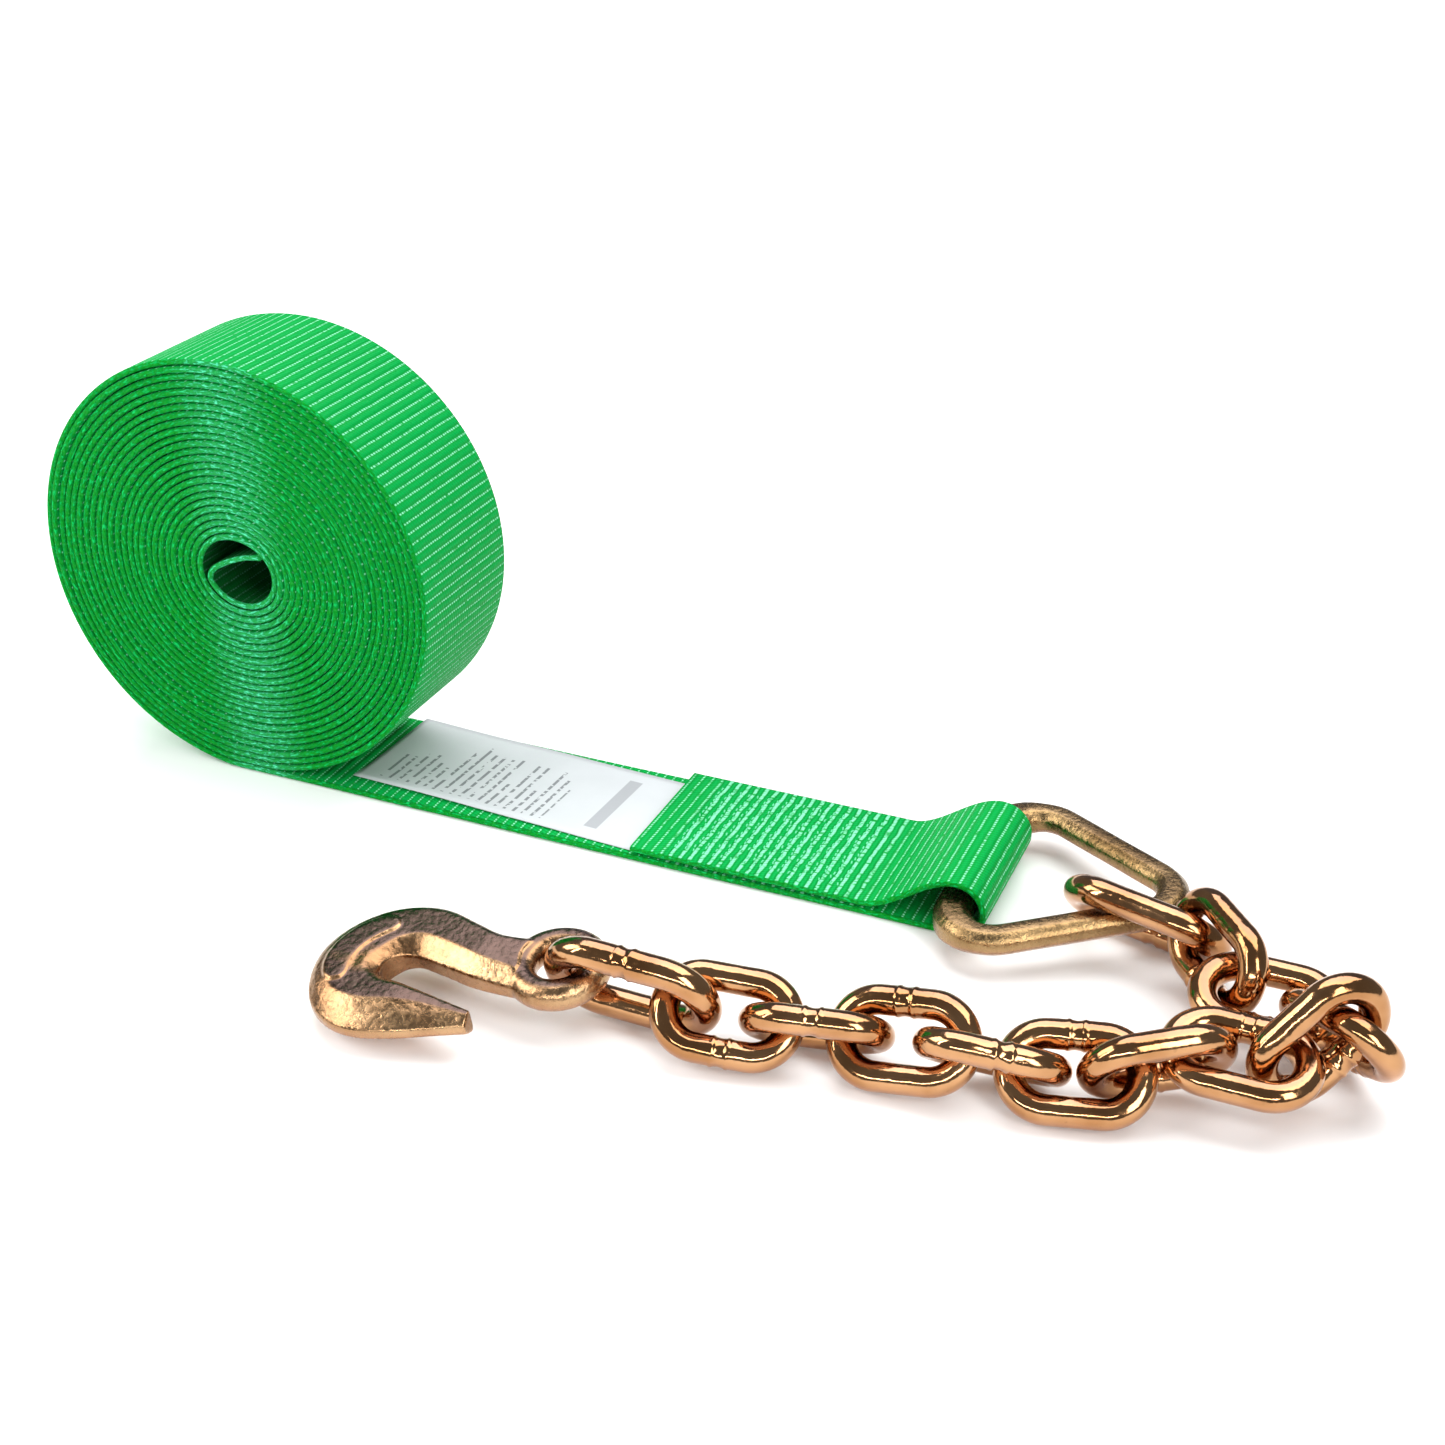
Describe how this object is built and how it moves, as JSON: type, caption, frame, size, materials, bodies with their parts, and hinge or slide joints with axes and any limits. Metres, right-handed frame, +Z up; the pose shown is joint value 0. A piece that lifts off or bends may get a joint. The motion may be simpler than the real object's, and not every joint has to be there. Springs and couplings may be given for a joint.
{
  "type": "tie-down strap with delta ring, chain and grab hook",
  "caption": "Rolled tie-down webbing sewn round a delta ring, with a short welded chain and a grab hook at its end.",
  "frame": {"origin": "on the resting surface, under the roll's centre, at the webbing's mid-width", "axes": "+X along the strap from the roll to the ring, +Y across the strap away from the chain, +Z up"},
  "size_m": [0.4479, 0.1825, 0.1453],
  "materials": {
    "webbing": "woven green polyester webbing",
    "label": "white coated label",
    "thread": "heavy green sewing thread",
    "forging": "forged steel, yellow chromate on a granular skin",
    "chain_wire": "welded steel wire, glossy yellow chromate"
  },
  "bodies": {
    "strap": {"webbing": "webbing", "label": "label", "stitching": "thread"},
    "ring": {"delta_ring": "forging"},
    "ring_link": {"ring_link": "chain_wire"},
    "chain_link_01": {"chain_link_01": "chain_wire"},
    "chain_link_02": {"chain_link_02": "chain_wire"},
    "chain_link_03": {"chain_link_03": "chain_wire"},
    "chain_link_04": {"chain_link_04": "chain_wire"},
    "chain_link_05": {"chain_link_05": "chain_wire"},
    "chain_link_06": {"chain_link_06": "chain_wire"},
    "chain_link_07": {"chain_link_07": "chain_wire"},
    "chain_link_08": {"chain_link_08": "chain_wire"},
    "chain_link_09": {"chain_link_09": "chain_wire"},
    "chain_link_10": {"chain_link_10": "chain_wire"},
    "chain_link_11": {"chain_link_11": "chain_wire"},
    "hook_link": {"hook_link": "chain_wire"},
    "grab_hook": {"grab_hook": "forging"}
  },
  "joints": [
    {"name": "ring_hinge", "type": "hinge", "parent": "strap", "child": "ring", "pos_m": [0.244, -0.0015, 0.009], "axis": [0, 1, 0], "range_deg": [-150, 150]},
    {"name": "ring_link_swing", "type": "hinge", "parent": "ring", "child": "ring_link", "pos_m": [0.29553, -0.0132, 0.01306], "axis": [0.8265, 0.5592, 0.065], "range_deg": [-49, 0]},
    {"name": "chain_link_01_swing", "type": "hinge", "parent": "ring_link", "child": "chain_link_01", "pos_m": [0.31576, -0.02311, 0.0177], "axis": [-0.6835, -0.4053, 0.6071], "range_deg": [-16, 19]},
    {"name": "chain_link_02_swing", "type": "hinge", "parent": "chain_link_01", "child": "chain_link_02", "pos_m": [0.33087, -0.04149, 0.01438], "axis": [-0.3786, 0.015, -0.9254], "range_deg": [-10, 7]},
    {"name": "chain_link_03_swing", "type": "hinge", "parent": "chain_link_02", "child": "chain_link_03", "pos_m": [0.35271, -0.04591, 0.01298], "axis": [0.4651, 0.8514, 0.2425], "range_deg": [-10, 13]},
    {"name": "chain_link_04_swing", "type": "hinge", "parent": "chain_link_03", "child": "chain_link_04", "pos_m": [0.35696, -0.05976, 0.02694], "axis": [-0.7764, 0.6074, -0.168], "range_deg": [-16, 16]},
    {"name": "chain_link_05_swing", "type": "hinge", "parent": "chain_link_04", "child": "chain_link_05", "pos_m": [0.34057, -0.07209, 0.01657], "axis": [0.0118, -0.0181, -0.9998], "range_deg": [-52, 16]},
    {"name": "chain_link_06_swing", "type": "hinge", "parent": "chain_link_05", "child": "chain_link_06", "pos_m": [0.31963, -0.07725, 0.01544], "axis": [0.5183, -0.8291, -0.2097], "range_deg": [-52, 19]},
    {"name": "chain_link_07_swing", "type": "hinge", "parent": "chain_link_06", "child": "chain_link_07", "pos_m": [0.30067, -0.08741, 0.01157], "axis": [-0.0269, -0.5347, 0.8446], "range_deg": [-90, 90]},
    {"name": "chain_link_08_swing", "type": "hinge", "parent": "chain_link_07", "child": "chain_link_08", "pos_m": [0.27969, -0.09105, 0.01237], "axis": [-0.0113, 0.7923, 0.61], "range_deg": [-90, 79]},
    {"name": "chain_link_09_swing", "type": "hinge", "parent": "chain_link_08", "child": "chain_link_09", "pos_m": [0.25881, -0.09501, 0.01454], "axis": [0.0082, 0.7455, -0.6665], "range_deg": [-90, 90]},
    {"name": "chain_link_10_swing", "type": "hinge", "parent": "chain_link_09", "child": "chain_link_10", "pos_m": [0.23517, -0.09626, 0.01225], "axis": [0.067, -0.6514, -0.7558], "range_deg": [-90, 90]},
    {"name": "chain_link_11_swing", "type": "hinge", "parent": "chain_link_10", "child": "chain_link_11", "pos_m": [0.21186, -0.10108, 0.01215], "axis": [0.1381, -0.6837, 0.7166], "range_deg": [-90, 90]},
    {"name": "hook_link_swing", "type": "hinge", "parent": "chain_link_11", "child": "hook_link", "pos_m": [0.18839, -0.10473, 0.01587], "axis": [0.109, 0.7866, 0.6077], "range_deg": [-31, 19]},
    {"name": "hook_swing", "type": "hinge", "parent": "hook_link", "child": "grab_hook", "pos_m": [0.15638, -0.10468, 0.01553], "axis": [0.0773, 0.3875, -0.9186], "range_deg": [-64, 52]}
  ]
}
